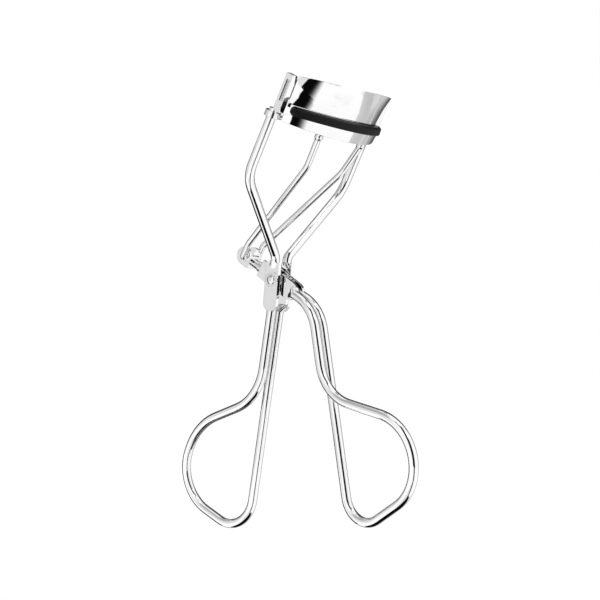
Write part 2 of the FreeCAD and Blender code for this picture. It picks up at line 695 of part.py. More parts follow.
def upper_jaw_plate():
    """Flared wall with a trimmed lip, a skirt beside each end of the pad, and a tab for each blade."""
    body = jaw_body("plate_body")
    outer = (
        ("plate_foot_radius", "skirt_foot"),
        ("plate_foot_radius", "plate_foot"),
        ("plate_waist_radius", "plate_waist_z"),
        ("plate_brim_radius", "plate_brim_z"),
        ("plate_lip_radius", "plate_lip_z"),
    )
    corners = [(f"-{radius}", height) for radius, height in outer]
    corners += [(f"plate_wall - {radius}", height) for radius, height in reversed(outer)]
    sweep_round(body, "Revolution", outline(body, "plate_section", corners), "plate_half_angle")
    mouth = outline(
        body,
        "plate_mouth",
        (
            ("-plate_foot_radius - 1", tilted("plate_foot", "-plate_foot_radius - 1")),
            ("0", tilted("plate_foot", "0")),
            ("0", "skirt_foot - 3"),
            ("-plate_foot_radius - 1", "skirt_foot - 3"),
        ),
    )
    cut_across(body, mouth, "2 * skirt_x")
    trim = outline(
        body,
        "plate_trim",
        (
            ("-plate_lip_radius - 1", "trim_z + trim_slope * (plate_lip_radius + 1 - arc_y)"),
            ("0", "trim_z - trim_slope * arc_y"),
            ("0", "plate_lip_z + 1"),
            ("-plate_lip_radius - 1", "plate_lip_z + 1"),
        ),
    )
    cut_across(body, trim, "4 * half_span")
    blade_face = "(half_span - blade_thickness / 2 - side_play)"
    slot_front = "guide_y - blade_set - blade_width / 2 + slot_margin"
    flange_front = "(arc_y - plate_foot_radius * cos(plate_half_angle) + 0.15)"
    tab_back = f"({slot_front} + side_play + tab_thickness)"
    tab_foot = "slot_foot + side_play"
    tab_height = "slot_top - slot_foot - 2 * side_play"
    ends = []
    for side, sign in SIDES:
        flange_x = f"-{blade_face}" if sign else f"{blade_face} - plate_wall"
        ends.append(
            box(
                f"flange_{side}",
                (flange_x, flange_front, "plate_foot"),
                ("plate_wall", f"{tab_back} - {flange_front}", "slot_top + 0.6 - plate_foot"),
            )
        )
        reach = "blade_thickness + 2 * side_play"
        tab_x = f"-{blade_face} - ({reach})" if sign else f"{blade_face} - 0.2"
        ends.append(
            box(
                f"tab_{side}",
                (tab_x, f"{slot_front} + side_play", tab_foot),
                (f"{reach} + 0.2", "tab_thickness", tab_height),
            )
        )
    return fuse("upper_jaw_plate", [body] + ends)


def guide_bush(side, sign):
    """An eyelet on the guide, with a neck that meets the end face of the lower jaw."""
    reach = "(half_span * cos(bar_half_angle) - (arc_y - guide_y) * sin(bar_half_angle))"
    collar = cylinder(f"bush_{side}_collar", "bush_radius", "bush_height")
    neck = cylinder(
        f"bush_{side}_neck", "neck_radius", reach, z="bush_height / 2", axis=FreeCAD.Vector(-1, 0, 0)
    )
    bore = cylinder(f"bush_{side}_bore", "wire_diameter / 2 + running_gap", "bush_height")
    bush = cut(f"guide_bush_{side}", fuse(f"bush_{side}_blank", [collar, neck]), bore)
    turn(bush, Z_AXIS, "bar_half_angle" if side == "right" else "180 - bar_half_angle")
    return place(bush, f"{sign}half_span", "guide_y", "bush_foot")


def check(thing):
    if "Invalid" in thing.State or "Error" in thing.State:
        raise RuntimeError(f"{thing.Name} did not recompute: {thing.State}")


def main():
    fill_sheet()
    nodes = [
        frame_wire(),
        lever_wire(),
        *pivot_pieces(),
        *post_pieces(),
        *push_rod_pieces(),
        lower_jaw_bar(),
        silicone_pad(),
        upper_jaw_plate(),
        *(guide_bush(side, sign) for side, sign in SIDES),
    ]
    DOC.recompute()
    for thing in DOC.Objects:
        check(thing)
    os.makedirs("parts", exist_ok=True)
    for node in nodes:
        if node.Shape.isNull() or not node.Shape.isValid():
            raise RuntimeError(f"{node.Name} has no valid shape")
        node.Label = node.Name
        node.Shape.exportStep(f"parts/{node.Label}.step")
        print(f"{node.Label}: {len(node.Shape.Solids)} solid, {node.Shape.Volume:.2f} mm3")


main()
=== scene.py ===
"""Finishes, silicone pad and studio for a plated wire eyelash curler, laid out as an add-on."""

import math

import bmesh
import bpy
import numpy as np
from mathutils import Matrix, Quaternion, Vector


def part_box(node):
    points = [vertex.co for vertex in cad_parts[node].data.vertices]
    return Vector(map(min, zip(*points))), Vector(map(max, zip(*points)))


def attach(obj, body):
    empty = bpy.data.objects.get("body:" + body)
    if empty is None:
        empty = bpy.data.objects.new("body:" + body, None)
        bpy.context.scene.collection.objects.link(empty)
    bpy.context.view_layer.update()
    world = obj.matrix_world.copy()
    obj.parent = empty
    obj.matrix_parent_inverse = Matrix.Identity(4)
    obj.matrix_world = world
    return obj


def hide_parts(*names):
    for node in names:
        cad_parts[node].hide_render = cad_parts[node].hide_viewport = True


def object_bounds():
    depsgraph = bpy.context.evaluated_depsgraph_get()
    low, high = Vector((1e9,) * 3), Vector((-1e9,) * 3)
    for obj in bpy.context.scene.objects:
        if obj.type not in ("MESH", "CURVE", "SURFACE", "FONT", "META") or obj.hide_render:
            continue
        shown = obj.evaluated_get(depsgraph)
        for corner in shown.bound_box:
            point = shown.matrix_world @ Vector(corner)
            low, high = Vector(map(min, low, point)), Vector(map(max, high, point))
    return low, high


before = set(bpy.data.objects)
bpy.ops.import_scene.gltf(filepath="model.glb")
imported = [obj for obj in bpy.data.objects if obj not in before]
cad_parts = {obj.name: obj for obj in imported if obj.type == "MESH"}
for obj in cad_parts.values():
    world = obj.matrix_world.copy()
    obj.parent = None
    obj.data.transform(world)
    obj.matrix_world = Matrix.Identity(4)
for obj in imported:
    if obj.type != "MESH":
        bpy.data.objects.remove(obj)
CAD_BOX = [list(corner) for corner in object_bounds()]
PAD_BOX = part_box("silicone_pad")

bl_info = {
    "name": "Eyelash Curler Workshop",
    "version": (1, 0, 0),
    "blender": (4, 5, 0),
    "location": "View3D > Sidebar > Curler",
    "description": "Plates the curler's wires and jaws, moulds its silicone pad and sets up the studio",
    "category": "Object",
}

MILLIMETRE = 0.001

# Shading: radius that edges are rounded to, height of every bump, the bend that stays a sharp edge
# and the distance under which two points of a CAD mesh are one.
EDGE_ROUNDING = 0.12 * MILLIMETRE
BUMP_HEIGHT = 0.02 * MILLIMETRE
SHARP_BEND = math.radians(20.0)
WELD_DISTANCE = 0.001 * MILLIMETRE

# Scales of the noise in each finish, in features per metre.
CLOUD_SCALE = 260.0
SMEAR_SCALE = 900.0
GRAIN_SCALE = 9000.0
SCUFF_SCALE = 700.0
# The next scale is for the streaks in the near black strip of painted shade in the blade slots.
SHADE_STREAK_SCALE = 2500.0
MOTTLE_SCALE = 40.0

# Each plated finish: the share by which its dull patches are darker, the haze that handling adds to
# its roughness, the scale of its polishing lines along X, Y and Z, and the strength of its waviness.
FINISHES = {
    "wire_chrome": (0.10, 0.05, (2600.0, 2600.0, 160.0), 0.04),
    "push_rod_chrome": (0.14, 0.07, (3200.0, 3200.0, 200.0), 0.05),
    "jaw_sheet_chrome": (0.16, 0.06, (220.0, 220.0, 2400.0), 0.16),
    "rivet_polished": (0.20, 0.10, (300.0, 2600.0, 2600.0), 0.18),
    "washer_satin": (0.25, 0.14, (300.0, 3000.0, 3000.0), 0.25),
    "tab_hatch_steel": (0.30, 0.10, (400.0, 3000.0, 3000.0), 0.20),
}

# Roughness that rivets and washers have over the polish, and the roughness of the hatched tabs.
RIVET_MATTING = 0.03
WASHER_MATTING = 0.16
HATCH_ROUGHNESS = 0.22

WIRE_NODES = ("frame_wire", "lever_wire")
ROD_NODES = ("push_rod",)
JAW_NODES = ("upper_jaw_plate", "lower_jaw_bar", "clevis")
RIVET_NODES = (
    "pivot_rivet",
    "rivet_washer_front",
    "rivet_washer_back",
    "swivel_post",
    "post_washer_inner",
    "post_washer_outer",
    "ball_collar_left",
    "ball_collar_right",
    "guide_bush_left",
    "guide_bush_right",
)
WASHER_NODES = ("friction_washer_front", "friction_washer_back", "pivot_spacer", "lever_bridge")

# Reflection cards stand round the camera's upright axis. Each has a name, the bearing of its left
# and right edge in degrees from the camera towards the right, the height of its foot and top along
# the axis in metres, the share of its width over which its left and right edge fade, and a grey.
CARDS = (
    ("camera_side", -14.0, 34.0, -0.09, 0.24, 0.15, 0.25, 0.003),
    ("camera_low", 0.5, 29.0, -0.20, -0.09, 0.06, 0.55, 0.003),
    ("under_camera", -4.5, 28.0, -0.56, -0.20, 0.03, 0.60, 0.003),
    ("under_left", -60.0, -4.0, -0.50, -0.20, 0.10, 0.02, 0.80),
    ("left", -118.0, -50.0, -0.07, 0.11, 0.10, 0.30, 0.74),
    ("left_high", -165.0, -32.0, 0.11, 0.55, 0.10, 0.25, 0.42),
    ("over_camera", -35.0, 45.0, 0.24, 0.42, 0.25, 0.30, 0.04),
    ("right_wide", 103.0, 126.0, -0.52, 0.10, 0.75, 0.08, 0.56),
    ("right_streak", 135.0, 141.0, -0.30, 0.05, 0.30, 0.30, 0.60),
)

# Grey of the disc below the object, and the radius in metres of the small hole at its middle.
DISC_GREY = 0.003
DISC_EYE = 0.001

# Grey level of the ring behind the object at each turn from the right, anticlockwise, in degrees.
RING_LEVELS = (
    (0.0, 0.14),
    (40.0, 0.08),
    (130.0, 0.06),
    (180.0, 0.02),
    (260.0, 0.05),
    (300.0, 0.62),
    (335.0, 0.70),
    (360.0, 0.14),
)

# Camera's sensor in millimetres; clipping, half width of the floor, and the lamp in metres; the glow
# that brings the floor up to white.
SENSOR_WIDTH = 36.0
CLIP_NEAR = 0.01
CLIP_FAR = 50.0
FLOOR_REACH = 12.0
FLOOR_GLOW = 0.16
LAMP_SIDE = 0.5
LAMP_PLACE = (-0.35, -0.15, 0.75)


# ---------------------------------------------------------------- settings


def length_setting(name, description, millimetres):
    """A length property with its default given in millimetres."""
    return bpy.props.FloatProperty(
        name=name,
        description=description,
        default=millimetres * MILLIMETRE,
        precision=5,
        subtype="DISTANCE",
        unit="LENGTH",
    )


def angle_setting(name, description, degrees):
    """An angle property with its default given in degrees."""
    return bpy.props.FloatProperty(
        name=name,
        description=description,
        default=math.radians(degrees),
        subtype="ANGLE",
        unit="ROTATION",
    )


def colour_setting(name, description, colour):
    """A colour property with its default as red, green and blue."""
    return bpy.props.FloatVectorProperty(
        name=name,
        description=description,
        default=colour,
        min=0.0,
        max=1.0,
        subtype="COLOR",
    )


class PadSettings(bpy.types.PropertyGroup):
    """Sizes and colour of the moulded silicone pad."""

    outer_radius: length_setting(
        "Outer radius", "From the arc's axis to the front of the bead", 22.5
    )
    inner_radius: length_setting(
        "Inner radius", "From the arc's axis to the back of the bead", 19.3
    )
    bead_height: length_setting(
        "Bead height", "How far the bead stands over the walls of the lower jaw", 1.45
    )
    stem_width: length_setting("Stem width", "Width of the stem held in the channel", 1.5)
    half_angle: angle_setting(
        "Half angle", "Turn from the middle of the pad to either end", 44.0
    )
    tilt: angle_setting("Tilt", "How far the bead rises from its ends to the front", 7.0)
    seam: length_setting("Parting line", "How far the mould's parting line stands proud", 0.03)
    lip: length_setting("Lip", "Thickness of the lip on each side of the lower jaw's rim", 0.42)
    overhang: length_setting("Overhang", "How far each lip reaches down over the rim", 0.62)
    rim_over_foot: length_setting(
        "Rim height", "From the foot of the stem up to the rim at the front", 1.40
    )
    end_dome: angle_setting("End dome", "Part of the arc over which each end closes", 2.6)
    colour: colour_setting("Colour", "Colour of the silicone", (0.005, 0.005, 0.0055))


class SlotSettings(bpy.types.PropertyGroup):
    """Places and sizes in the slot of each blade, whose tab holds the upper jaw."""

    face: length_setting("Face", "From the middle plane to the blade's outer face", 17.25)
    foot: length_setting("Foot", "Lower end of the tab", 40.30)
    top: length_setting("Top", "Upper end of the tab", 45.02)
    tab_front: length_setting("Tab front", "Front side of the tab along Y", 4.26)
    tab_back: length_setting("Tab back", "Back side of the tab along Y", 4.98)
    gap_back: length_setting("Gap back", "Back side of the slot along Y", 5.31)
    # The slot's fill is painted shade: a near black strip that stands for the shadow deep in the gap
    # beside the tab.
    recess: length_setting("Recess", "How far the lacquer lies under the face", 0.12)
    depth: length_setting("Depth", "Depth of the lacquer", 1.0)
    proud: length_setting("Proud", "How far the tab's end stands over the face", 0.05)
    ridge: length_setting("Ridge", "Depth of the hatching", 0.035)
    ridges: bpy.props.IntProperty(
        name="Ridges", description="Hatching ridges on a tab", default=14, min=0
    )
    tab_colour: colour_setting(
        "Tab steel", "Colour of the tab's hatched end", (0.60, 0.60, 0.60)
    )
    # Colour of the painted shade in the slot, near black.
    painted_shade_colour: colour_setting(
        "Painted shade", "Colour of the lacquer in the slot", (0.004, 0.004, 0.004)
    )


class PlatingSettings(bpy.types.PropertyGroup):
    """Colours and polish of the metal parts."""

    wire_colour: colour_setting(
        "Wire chrome", "Colour of the plated handles, frame and push rod", (0.97, 0.97, 0.975)
    )
    jaw_colour: colour_setting(
        "Jaw chrome", "Colour of the plated sheet parts", (0.96, 0.96, 0.965)
    )
    steel_colour: colour_setting(
        "Rivet steel", "Colour of the turned and headed pieces", (0.90, 0.90, 0.905)
    )
    washer_colour: colour_setting(
        "Washer steel", "Colour of the washers, the spacer and the bridge", (0.72, 0.72, 0.73)
    )
    polish: bpy.props.FloatProperty(
        name="Polish roughness",
        description="Roughness of the brightest plating",
        default=0.02,
        min=0.0,
        max=1.0,
    )


class StudioSettings(bpy.types.PropertyGroup):
    """Camera, floor, cards and lamp."""

    aim: bpy.props.FloatVectorProperty(
        name="Aim",
        description="Point that the camera looks at",
        default=(0.00327, -0.00523, -0.00231),
        subtype="TRANSLATION",
        unit="LENGTH",
    )
    distance: length_setting("Distance", "From the camera to the point it looks at", 302.34)
    azimuth: angle_setting(
        "Azimuth", "Turn of the camera round the object, 0 looking along +Y", -51.75
    )
    elevation: angle_setting("Elevation", "Height of the camera over the horizon", 16.14)
    roll: angle_setting("Roll", "Turn of the camera about its own line of sight", 22.72)
    lens: bpy.props.FloatProperty(
        name="Focal length",
        description="Focal length on a sensor 36 mm wide",
        default=78.0,
        unit="CAMERA",
    )
    floor_drop: length_setting("Floor drop", "How far under the object the floor lies", 320.0)
    floor_colour: colour_setting("Floor", "Colour of the floor", (0.86, 0.86, 0.86))
    card_radius: length_setting("Card radius", "From the object to the reflection cards", 260.0)
    ring_radius: length_setting(
        "Ring radius", "From the object to the ring card behind it", 400.0
    )
    ring_inner: angle_setting(
        "Ring opening", "Angle off the line of sight at which the ring begins", 13.0
    )
    ring_outer: angle_setting(
        "Ring rim", "Angle off the line of sight at which the ring ends", 74.0
    )
    disc_radius: length_setting(
        "Disc radius", "Radius of the black disc below the object", 190.0
    )
    disc_drop: length_setting("Disc drop", "From the object down to the black disc", 310.0)
    key_power: bpy.props.FloatProperty(
        name="Key lamp",
        description="Power of the soft lamp over the object",
        default=1.1,
        unit="POWER",
    )


# ---------------------------------------------------------------- mesh helpers


def grid_faces(rows, columns, wrap):
    """Quads of a grid of points, rows by columns: each takes its four neighbouring points, and the
    last column is joined to the first if wrap is true."""
    row = np.arange(rows - 1)[:, None]
    column = np.arange(columns if wrap else columns - 1)[None, :]
    after = (column + 1) % columns
    corners = (row * columns + column, row * columns + after)
    above = ((row + 1) * columns + after, (row + 1) * columns + column)
    return np.stack(corners + above, axis=-1).reshape(-1, 4)


def mesh_piece(name, points, faces, material, uv=None):
    """A new object at the origin from arrays of points and faces, shaded smooth, with an optional
    UV per point."""
    mesh = bpy.data.meshes.new(name)
    mesh.from_pydata(points.tolist(), [], [list(face) for face in faces])
    mesh.shade_smooth()
    if uv is not None:
        layer = mesh.uv_layers.new(name="surface")
        corner = np.zeros(len(mesh.loops), np.int32)
        mesh.loops.foreach_get("vertex_index", corner)
        layer.data.foreach_set("uv", uv[corner].astype(np.float32).ravel())
    mesh.materials.append(material)
    mesh.update()
    piece = bpy.data.objects.new(name, mesh)
    bpy.context.scene.collection.objects.link(piece)
    return piece


# ---------------------------------------------------------------- node helpers


def group_tree(name, inputs, outputs):
    """A new shader node group with its named inputs and outputs, and the nodes at its two ends."""
    tree = bpy.data.node_groups.new(name, "ShaderNodeTree")
    for label, kind in inputs:
        tree.interface.new_socket(name=label, in_out="INPUT", socket_type=kind)
    for label, kind in outputs:
        tree.interface.new_socket(name=label, in_out="OUTPUT", socket_type=kind)
    return tree, tree.nodes.new("NodeGroupInput"), tree.nodes.new("NodeGroupOutput")


def new_material(name):
    """A new material with its node tree and its Principled shader."""
    material = bpy.data.materials.new(name)
    material.use_nodes = True
    tree = material.node_tree
    return material, tree, tree.nodes["Principled BSDF"]


def noise(tree, vector, scale, detail):
    """A noise texture of the given scale, read at the given vector socket."""
    node = tree.nodes.new("ShaderNodeTexNoise")
    node.inputs["Scale"].default_value = scale
    node.inputs["Detail"].default_value = detail
    tree.links.new(vector, node.inputs["Vector"])
    return node.outputs["Fac"]


def stretched(tree, vector, scale):
    """The vector with each axis scaled, so that a texture read there is drawn out along an axis."""
    node = tree.nodes.new("ShaderNodeMapping")
    node.inputs["Scale"].default_value = scale
    tree.links.new(vector, node.inputs["Vector"])
    return node.outputs["Vector"]


def spread(tree, value, low, high, to_low, to_high):
    """The value's stretch from low to high, carried smoothly to to_low and to_high."""
    node = tree.nodes.new("ShaderNodeMapRange")
    node.interpolation_type = "SMOOTHSTEP"
    bounds = (("From Min", low), ("From Max", high), ("To Min", to_low), ("To Max", to_high))
    for label, bound in bounds:
        node.inputs[label].default_value = bound
    tree.links.new(value, node.inputs["Value"])
    return node.outputs["Result"]


def arithmetic(tree, operation, first, second):
    """One Math node on two sockets or numbers."""
    node = tree.nodes.new("ShaderNodeMath")
    node.operation = operation
    for socket, value in zip(node.inputs, (first, second)):
        if isinstance(value, (int, float)):
            socket.default_value = value
        else:
            tree.links.new(value, socket)
    return node.outputs["Value"]


def toned(tree, factor, light, dark):
    """A colour that goes from light to dark as the factor goes from 0 to 1."""
    node = tree.nodes.new("ShaderNodeMix")
    node.data_type = "RGBA"
    for label, value in (("A", light), ("B", dark)):
        socket = next(s for s in node.inputs if s.name == label and s.type == "RGBA")
        if isinstance(value, bpy.types.NodeSocket):
            tree.links.new(value, socket)
        else:
            socket.default_value = (*value, 1.0)
    tree.links.new(factor, node.inputs["Factor"])
    return next(s for s in node.outputs if s.type == "RGBA")


def plating_group():
    """Node group: faint clouding, fine polishing lines and handling haze of bright plating."""
    inputs = (
        ("Vector", "NodeSocketVector"),
        ("Lines", "NodeSocketVector"),
        ("Bright", "NodeSocketColor"),
        ("Dull", "NodeSocketColor"),
        ("Roughness", "NodeSocketFloat"),
        ("Haze", "NodeSocketFloat"),
    )
    outputs = (
        ("Colour", "NodeSocketColor"),
        ("Roughness", "NodeSocketFloat"),
        ("Height", "NodeSocketFloat"),
    )
    tree, source, sink = group_tree("Bright plating", inputs, outputs)
    clouds = noise(tree, source.outputs["Vector"], CLOUD_SCALE, 3.0)
    smears = noise(tree, source.outputs["Vector"], SMEAR_SCALE, 2.0)
    lines = noise(tree, source.outputs["Lines"], 1.0, 2.0)
    patches = spread(tree, clouds, 0.45, 0.75, 0.0, 1.0)
    worn_lines = spread(tree, lines, 0.5, 0.8, 0.3, 1.0)
    worn = arithmetic(tree, "MULTIPLY", patches, worn_lines)
    colour = toned(tree, worn, source.outputs["Bright"], source.outputs["Dull"])
    touched = spread(tree, smears, 0.5, 0.8, 0.0, 1.0)
    haze = arithmetic(tree, "MULTIPLY", touched, source.outputs["Haze"])
    rough = arithmetic(tree, "ADD", source.outputs["Roughness"], haze)
    shallow_lines = arithmetic(tree, "MULTIPLY", lines, 0.3)
    tree.links.new(colour, sink.inputs["Colour"])
    tree.links.new(rough, sink.inputs["Roughness"])
    tree.links.new(arithmetic(tree, "ADD", clouds, shallow_lines), sink.inputs["Height"])
    return tree


def shared_plating():
    """The plating node group, built on first use."""
    return bpy.data.node_groups.get("Bright plating") or plating_group()


def dulled(colour, share):
    """The colour brought down by a share of itself."""
    return tuple(channel * (1.0 - share) for channel in colour)


def plated_metal(name, colour, roughness):
    """A mirror plated metal of the named finish: the plating group drives its colour, roughness
    and a very shallow bump, on edges rounded by the shader."""
    darker, haze, line_scale, waviness = FINISHES[name]
    material, tree, shader = new_material(name)
    shader.inputs["Metallic"].default_value = 1.0
    place = tree.nodes.new("ShaderNodeTexCoord").outputs["Object"]
    plating = tree.nodes.new("ShaderNodeGroup")
    plating.node_tree = shared_plating()
    tree.links.new(place, plating.inputs["Vector"])
    tree.links.new(stretched(tree, place, line_scale), plating.inputs["Lines"])
    plating.inputs["Bright"].default_value = (*colour, 1.0)
    plating.inputs["Dull"].default_value = (*dulled(colour, darker), 1.0)
    plating.inputs["Roughness"].default_value = roughness
    plating.inputs["Haze"].default_value = haze
    bump = tree.nodes.new("ShaderNodeBump")
    bump.inputs["Strength"].default_value = waviness
    bump.inputs["Distance"].default_value = BUMP_HEIGHT
    edge = tree.nodes.new("ShaderNodeBevel")
    edge.samples = 6
    edge.inputs["Radius"].default_value = EDGE_ROUNDING
    tree.links.new(edge.outputs["Normal"], bump.inputs["Normal"])
    tree.links.new(plating.outputs["Height"], bump.inputs["Height"])
    tree.links.new(plating.outputs["Colour"], shader.inputs["Base Color"])
    tree.links.new(plating.outputs["Roughness"], shader.inputs["Roughness"])
    tree.links.new(bump.outputs["Normal"], shader.inputs["Normal"])
    return material


def finish_nodes(names, material):
    """Gives the CAD nodes this material in place of the one they came with."""
    for name in names:
        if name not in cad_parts:
            raise RuntimeError(f"the frame has no node {name}")
        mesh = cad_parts[name].data
        mesh.materials.clear()
        mesh.materials.append(material)


def polished_copy(node, body, material):
    """A copy of a CAD node with its triangles joined, its soft bends polished into one surface and
    its sharp bends kept as edges. It stands for the node and rides on the same body."""
    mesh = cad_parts[node].data.copy()
    joined = bmesh.new()
    joined.from_mesh(mesh)
    bmesh.ops.remove_doubles(joined, verts=joined.verts, dist=WELD_DISTANCE)
    joined.to_mesh(mesh)
    joined.free()
    mesh.attributes.remove(mesh.attributes["custom_normal"])
    mesh.shade_smooth()
    mesh.set_sharp_from_angle(angle=SHARP_BEND)
    mesh.materials.clear()
    mesh.materials.append(material)
    piece = bpy.data.objects.new(f"{node}_polished", mesh)
    bpy.context.scene.collection.objects.link(piece)
    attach(piece, body)
    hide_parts(node)


def silicone_material(colour):
    """Satin black silicone: fine moulded grain, soft scuffs along the bead and a thin bloom of dust."""
    material, tree, shader = new_material("black_silicone_satin")
    shader.inputs["Specular IOR Level"].default_value = 0.16
    place = tree.nodes.new("ShaderNodeTexCoord").outputs["Object"]
    grain = noise(tree, place, GRAIN_SCALE, 2.0)
    scuffs = noise(tree, place, SCUFF_SCALE, 4.0)
    bloom = spread(tree, scuffs, 0.52, 0.78, 0.0, 1.0)
    dusty = tuple(channel + 0.004 for channel in colour)
    colour_socket = toned(tree, bloom, tuple(colour), dusty)
    satin = spread(tree, scuffs, 0.3, 0.75, 0.30, 0.44)
    rough = arithmetic(tree, "ADD", satin, arithmetic(tree, "MULTIPLY", grain, 0.08))
    bump = tree.nodes.new("ShaderNodeBump")
    bump.inputs["Strength"].default_value = 0.35
    bump.inputs["Distance"].default_value = BUMP_HEIGHT
    tree.links.new(grain, bump.inputs["Height"])
    tree.links.new(colour_socket, shader.inputs["Base Color"])
    tree.links.new(rough, shader.inputs["Roughness"])
    tree.links.new(bump.outputs["Normal"], shader.inputs["Normal"])
    return material


# ---------------------------------------------------------------- silicone pad


def corner_cut(outline, rounds=3):
    """A closed outline with its corners rounded: each round puts two points on every side, a
    quarter of the way in from its ends, and leaves the old corners out."""
    for _ in range(rounds):
        after = np.roll(outline, -1, axis=0)
        pairs = np.stack([0.75 * outline + 0.25 * after, 0.25 * outline + 0.75 * after], axis=1)
        outline = pairs.reshape(-1, 2)
    return outline


def bead_outline(pad):
    """Section of the bead, across and up from the middle of the jaw's rim: a crowned top, round
    shoulders, a raised parting line, and a lip down each side of the rim."""
    half = (pad.outer_radius - pad.inner_radius) / 2.0
    play = 0.02 * MILLIMETRE
    lip_out = half + pad.lip
    crown = pad.bead_height
    crown_inset = 0.4 * MILLIMETRE
    shoulder = 0.7 * crown
    line = 0.45 * crown
    right = (
        (half + play, play),
        (half + play, -pad.overhang),
        (lip_out, -pad.overhang),
        (lip_out, line - 2.0 * pad.seam),
        (lip_out + pad.seam, line),
        (lip_out, line + 2.0 * pad.seam),
        (lip_out - 0.1 * pad.lip, shoulder),
        (half - crown_inset, crown),
    )
    left = [(-across, up) for across, up in reversed(right)]
    return corner_cut(np.array([*right, *left]))


def stem_outline(pad, height):
    """Section of the stem in the channel: a rounded bar of the stem's width."""
    half = pad.stem_width / 2.0
    return corner_cut(np.array([(half, -height), (half, 0.0), (-half, 0.0), (-half, -height)]))


def arc_strip(radius, outline, half_angle, dome, rows=161):
    """A bar bent round the upright axis: the outline is carried along an arc of the given radius,
    and near each end it shrinks to its own middle as a quarter circle does, which closes it."""
    middle = outline.mean(axis=0)
    share = np.sin(np.linspace(-np.pi / 2, np.pi / 2, rows))
    angle = half_angle * share
    into_end = np.clip((np.abs(angle) - (half_angle - dome)) / dome, 0.0, 1.0)
    shrink = np.sqrt(np.clip(1.0 - into_end**2, 0.0, 1.0))[:, None, None]
    section = middle + (outline - middle)[None, :, :] * shrink
    r = radius + section[:, :, 0]
    x = r * np.sin(angle)[:, None]
    y = -r * np.cos(angle)[:, None]
    points = np.stack([x, y, section[:, :, 1]], axis=-1).reshape(-1, 3)
    columns = len(outline)
    along, around = np.meshgrid((share + 1.0) / 2.0, np.arange(columns) / columns, indexing="ij")
    uv = np.stack([along.ravel(), around.ravel()], axis=-1)
    return points, grid_faces(rows, columns, wrap=True), uv


def build_pad(pad):
    """The bead and its stem as two closed shells of one mesh. The bead turns about the front of the
    jaw by the tilt, so that it lies on the rim; the stem stays level in the channel."""
    low, high = PAD_BOX
    front = low.y
    middle = (pad.outer_radius + pad.inner_radius) / 2.0
    rim = low.z + pad.rim_over_foot
    bead, bead_faces, bead_uv = arc_strip(middle, bead_outline(pad), pad.half_angle, pad.end_dome)
    over, up = bead[:, 1] + pad.outer_radius, bead[:, 2]
    cosine, sine = math.cos(pad.tilt), math.sin(pad.tilt)
    bead[:, 1] = front + over * cosine + up * sine
    bead[:, 2] = rim - over * sine + up * cosine
    stem, stem_faces, stem_uv = arc_strip(
        middle, stem_outline(pad, rim - low.z), pad.half_angle, pad.end_dome
    )
    stem[:, 1] += front + pad.outer_radius
    stem[:, 2] += rim
    points = np.concatenate([bead, stem])
    faces = np.concatenate([bead_faces, stem_faces + len(bead)])
    uv = np.concatenate([bead_uv, stem_uv])
    return mesh_piece("silicone_pad_moulded", points, faces, silicone_material(pad.colour), uv)


# ---------------------------------------------------------------- blade slots


def painted_shade_material(colour):
    """Painted shade in the slot beside the tab: a near black strip with faint streaks in its colour and
    its gloss.
    """
    material, tree, shader = new_material("slot_painted_shade")
    shader.inputs["Specular IOR Level"].default_value = 0.1
    place = tree.nodes.new("ShaderNodeTexCoord").outputs["Object"]
    shade_streaks = noise(tree, place, SHADE_STREAK_SCALE, 3.0)
    tone = toned(tree, shade_streaks, tuple(colour), dulled(colour, 0.5))
    tree.links.new(tone, shader.inputs["Base Color"])
    tree.links.new(spread(tree, shade_streaks, 0.3, 0.7, 0.35, 0.6), shader.inputs["Roughness"])
    return material


def squared_off(value, power):
    """The value's sign times its size raised to two over the power."""
    return np.sign(value) * np.abs(value) ** (2.0 / power)


def rounded_block(low, high, power=6.0, rows=25, columns=48):
    """A closed superellipsoid that fills the box from low to high: a sphere's points by latitude
    and longitude, each sine and cosine squared off by the power."""
    half = (np.array(high) - np.array(low)) / 2.0
    middle = (np.array(high) + np.array(low)) / 2.0
    latitude = np.linspace(-np.pi / 2, np.pi / 2, rows)[:, None]
    longitude = np.linspace(0.0, 2.0 * np.pi, columns, endpoint=False)[None, :]
    ring = squared_off(np.cos(latitude), power)
    x = ring * squared_off(np.cos(longitude), power)
    y = ring * squared_off(np.sin(longitude), power)
    z = squared_off(np.sin(latitude), power) * np.ones_like(longitude)
    points = np.stack([x.ravel(), y.ravel(), z.ravel()], axis=-1) * half + middle
    return points, grid_faces(rows, columns, wrap=True)


def hatched_cap(low, high, side, ridge_depth, ridges, rows=121, columns=25):
    """A closed cap on the end of a tab: its outer face rises and falls as a sine along a slanted
    line, and dies away at its border; its inner face is flat and buried in the tab."""
    buried = 0.02 * MILLIMETRE
    slant = 0.9
    side_rise, end_rise = 8.0, 30.0
    v, u = np.meshgrid(np.linspace(0.0, 1.0, rows), np.linspace(0.0, 1.0, columns), indexing="ij")
    across_border = np.clip(side_rise * np.minimum(u, 1.0 - u), 0.0, 1.0)
    along_border = np.clip(end_rise * np.minimum(v, 1.0 - v), 0.0, 1.0)
    border = across_border * along_border
    wave = 0.5 + 0.5 * np.sin(2.0 * np.pi * (ridges * v + slant * u))
    face = high[0] - low[0]
    x = side * (low[0] + border * (face - ridge_depth * wave))
    y = low[1] + (high[1] - low[1]) * u
    z = low[2] + (high[2] - low[2]) * v
    outer = np.stack([x.ravel(), y.ravel(), z.ravel()], axis=-1)
    inner = outer.copy()
    inner[:, 0] = side * (low[0] - buried)
    sheet = grid_faces(rows, columns, wrap=False)
    index = np.arange(rows * columns).reshape(rows, columns)
    loop = np.concatenate([index[0, :-1], index[:-1, -1], index[-1, :0:-1], index[:0:-1, 0]])
    after = np.roll(loop, -1)
    wall = np.stack([after, loop, loop + len(outer), after + len(outer)], axis=-1)
    faces = np.concatenate([sheet, sheet[:, ::-1] + len(outer), wall])
    if side < 0:
        faces = faces[:, ::-1]
    return np.concatenate([outer, inner]), faces


